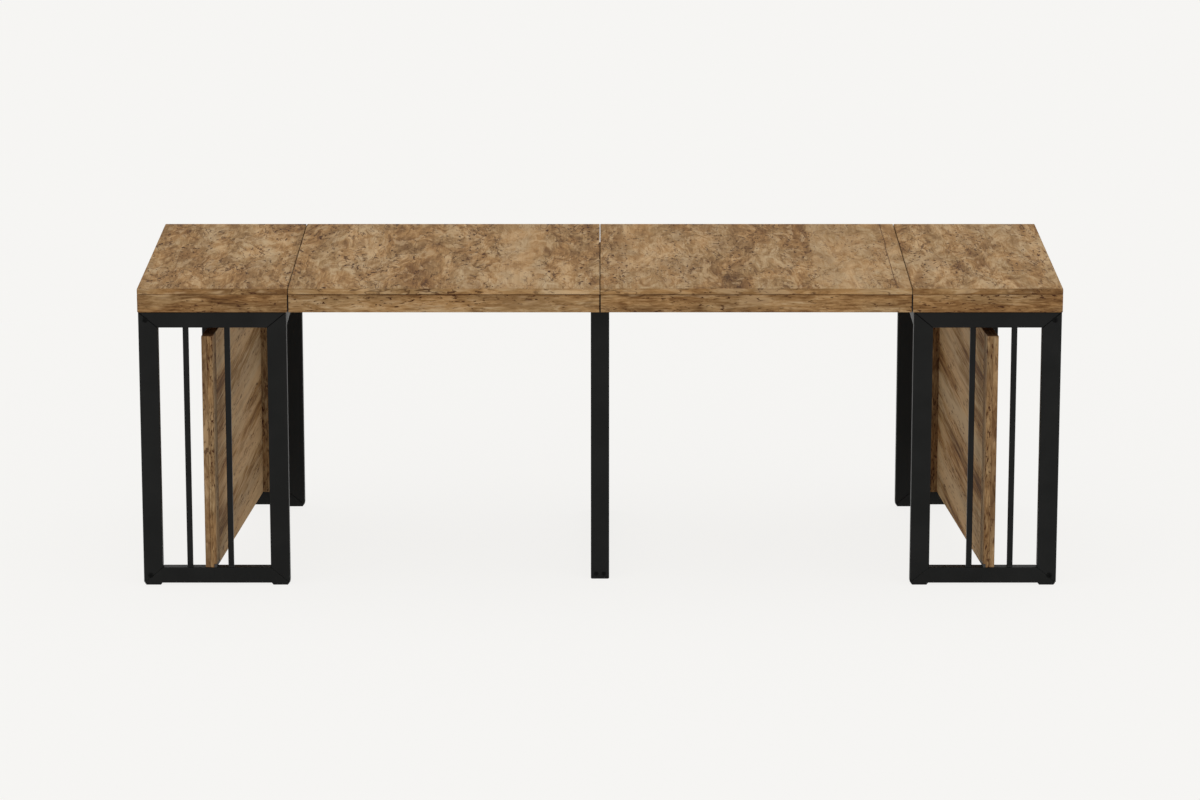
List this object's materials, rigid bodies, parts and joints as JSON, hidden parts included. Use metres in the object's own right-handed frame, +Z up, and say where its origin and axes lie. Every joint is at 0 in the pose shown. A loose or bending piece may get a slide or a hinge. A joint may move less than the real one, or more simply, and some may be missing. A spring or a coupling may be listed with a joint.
{
  "type": "extending dining table",
  "caption": "Long plank-topped dining table on black tube end frames; its halves slide apart on telescopic rails over a centre leg, and spare leaves stand in the ends.",
  "frame": {"origin": "on the floor, under the middle of the top", "axes": "+X along the table's length, -Y to the front, +Z up"},
  "size_m": [2.2856, 0.8, 0.76],
  "materials": {
    "top_wood": "matt rustic brown",
    "apron_wood": "matt rustic brown",
    "spare_wood": "matt rustic brown",
    "lipping_wood": "matt rustic brown",
    "bearer_wood": "plain planed wood",
    "black_metal": "matt black powder coat",
    "black_fastener": "black oxide",
    "slide_steel": "black zinc-plated steel",
    "foot_plastic": "black moulded plastic"
  },
  "bodies": {
    "centre_frame": {"centre_front_leg": "black_metal", "centre_back_leg": "black_metal", "centre_top_beam": "black_metal", "centre_bottom_beam": "black_metal", "centre_feet": "foot_plastic", "centre_screws": "black_fastener", "centre_saddles": "black_metal", "fixed_rails": "slide_steel"},
    "left_half": {"left_end_top": "top_wood", "left_leaf_top": "top_wood", "left_end_aprons": "apron_wood", "left_leaf_aprons": "apron_wood", "left_front_outer_leg": "black_metal", "left_front_inner_leg": "black_metal", "left_front_top_rail": "black_metal", "left_front_bottom_rail": "black_metal", "left_front_bars": "black_metal", "left_back_outer_leg": "black_metal", "left_back_inner_leg": "black_metal", "left_back_top_rail": "black_metal", "left_back_bottom_rail": "black_metal", "left_back_bars": "black_metal", "left_inner_side_rail": "black_metal", "left_outer_side_rail": "black_metal", "left_feet": "foot_plastic", "left_frame_bolts": "black_fastener", "left_bearers": "bearer_wood", "left_runners": "slide_steel"},
    "left_middle_rails": {"left_middle_rails": "slide_steel"},
    "left_spare_leaf": {"left_spare_panel": "spare_wood", "left_spare_core": "spare_wood", "left_spare_lipping": "lipping_wood", "left_spare_batten": "lipping_wood"},
    "right_half": {"right_end_top": "top_wood", "right_leaf_top": "top_wood", "right_end_aprons": "apron_wood", "right_leaf_aprons": "apron_wood", "right_front_outer_leg": "black_metal", "right_front_inner_leg": "black_metal", "right_front_top_rail": "black_metal", "right_front_bottom_rail": "black_metal", "right_front_bars": "black_metal", "right_back_outer_leg": "black_metal", "right_back_inner_leg": "black_metal", "right_back_top_rail": "black_metal", "right_back_bottom_rail": "black_metal", "right_back_bars": "black_metal", "right_inner_side_rail": "black_metal", "right_outer_side_rail": "black_metal", "right_feet": "foot_plastic", "right_frame_bolts": "black_fastener", "right_bearers": "bearer_wood", "right_runners": "slide_steel"},
    "right_middle_rails": {"right_middle_rails": "slide_steel"},
    "right_spare_leaf": {"right_spare_panel": "spare_wood", "right_spare_core": "spare_wood", "right_spare_lipping": "lipping_wood", "right_spare_batten": "lipping_wood"}
  },
  "joints": [
    {"name": "left_half_slide", "type": "slide", "parent": "centre_frame", "child": "left_half", "axis": [-1, 0, 0], "range_m": [0, 0.597]},
    {"name": "left_middle_rail_slide", "type": "slide", "parent": "centre_frame", "child": "left_middle_rails", "axis": [-1, 0, 0], "range_m": [0, 0.2985]},
    {"name": "left_spare_leaf_pull", "type": "slide", "parent": "left_half", "child": "left_spare_leaf", "axis": [-0.0872, -0.9962, 0], "range_m": [0, 0.8]},
    {"name": "right_half_slide", "type": "slide", "parent": "centre_frame", "child": "right_half", "axis": [1, 0, 0], "range_m": [0, 0.597]},
    {"name": "right_middle_rail_slide", "type": "slide", "parent": "centre_frame", "child": "right_middle_rails", "axis": [1, 0, 0], "range_m": [0, 0.2985]},
    {"name": "right_spare_leaf_pull", "type": "slide", "parent": "right_half", "child": "right_spare_leaf", "axis": [0.0872, -0.9962, 0], "range_m": [0, 0.8]}
  ],
  "couplings": [
    {"joint": "left_middle_rail_slide", "follows": "left_half_slide", "ratio": 0.5},
    {"joint": "right_middle_rail_slide", "follows": "right_half_slide", "ratio": 0.5}
  ]
}
